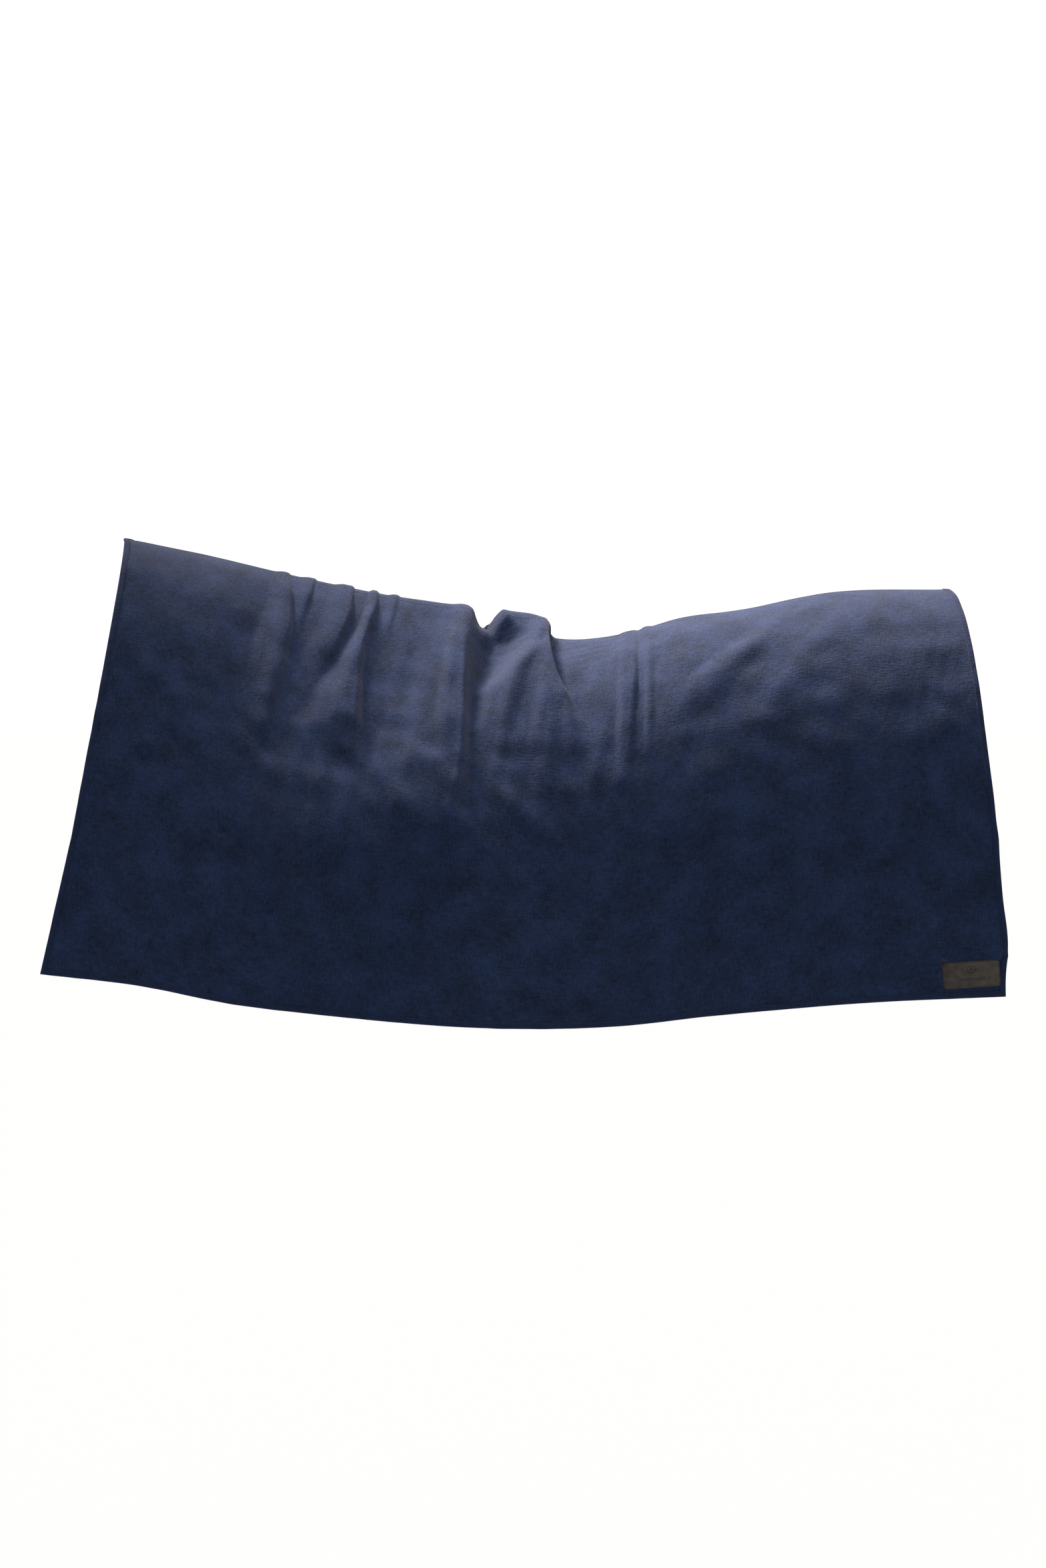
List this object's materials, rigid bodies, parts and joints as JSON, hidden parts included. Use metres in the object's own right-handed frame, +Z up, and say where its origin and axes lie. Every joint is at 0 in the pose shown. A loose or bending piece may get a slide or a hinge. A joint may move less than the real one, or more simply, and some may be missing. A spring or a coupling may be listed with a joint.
{
  "type": "turnout rug",
  "caption": "Draped rectangular horse rug of lined cloth with bound edges and a small label; lies over a horse's back, with skirts that lift up along the flanks.",
  "frame": {"origin": "on the horse's back on the centre plane, halfway along the rug and just under the spine webbing", "axes": "+X to the tail, -Y to the near (left) side, +Z up"},
  "size_m": [1.6006, 0.6508, 0.8141],
  "materials": {
    "shell_cloth": "navy brushed woven cloth, matt",
    "lining_cloth": "navy plain lining cloth, matt",
    "binding_tape": "navy woven tape",
    "spine_webbing": "dark navy woven webbing",
    "label_leather": "dark brown-grey grained leather",
    "label_thread": "dark waxed thread"
  },
  "bodies": {
    "back": {"near_back_shell": "shell_cloth", "near_back_lining": "lining_cloth", "off_back_shell": "shell_cloth", "off_back_lining": "lining_cloth", "front_binding": "binding_tape", "rear_binding": "binding_tape", "spine_webbing": "spine_webbing"},
    "near_skirt": {"near_skirt_shell": "shell_cloth", "near_skirt_lining": "lining_cloth", "near_skirt_binding": "binding_tape", "label_patch": "label_leather", "label_thread": "label_thread"},
    "off_skirt": {"off_skirt_shell": "shell_cloth", "off_skirt_lining": "lining_cloth", "off_skirt_binding": "binding_tape"}
  },
  "joints": [
    {"name": "near_skirt_lift", "type": "hinge", "parent": "back", "child": "near_skirt", "pos_m": [0, -0.29449, -0.33475], "axis": [-1, 0, 0], "range_deg": [0, 100]},
    {"name": "off_skirt_lift", "type": "hinge", "parent": "back", "child": "off_skirt", "pos_m": [0, 0.29449, -0.33475], "axis": [1, 0, 0], "range_deg": [0, 100]}
  ]
}
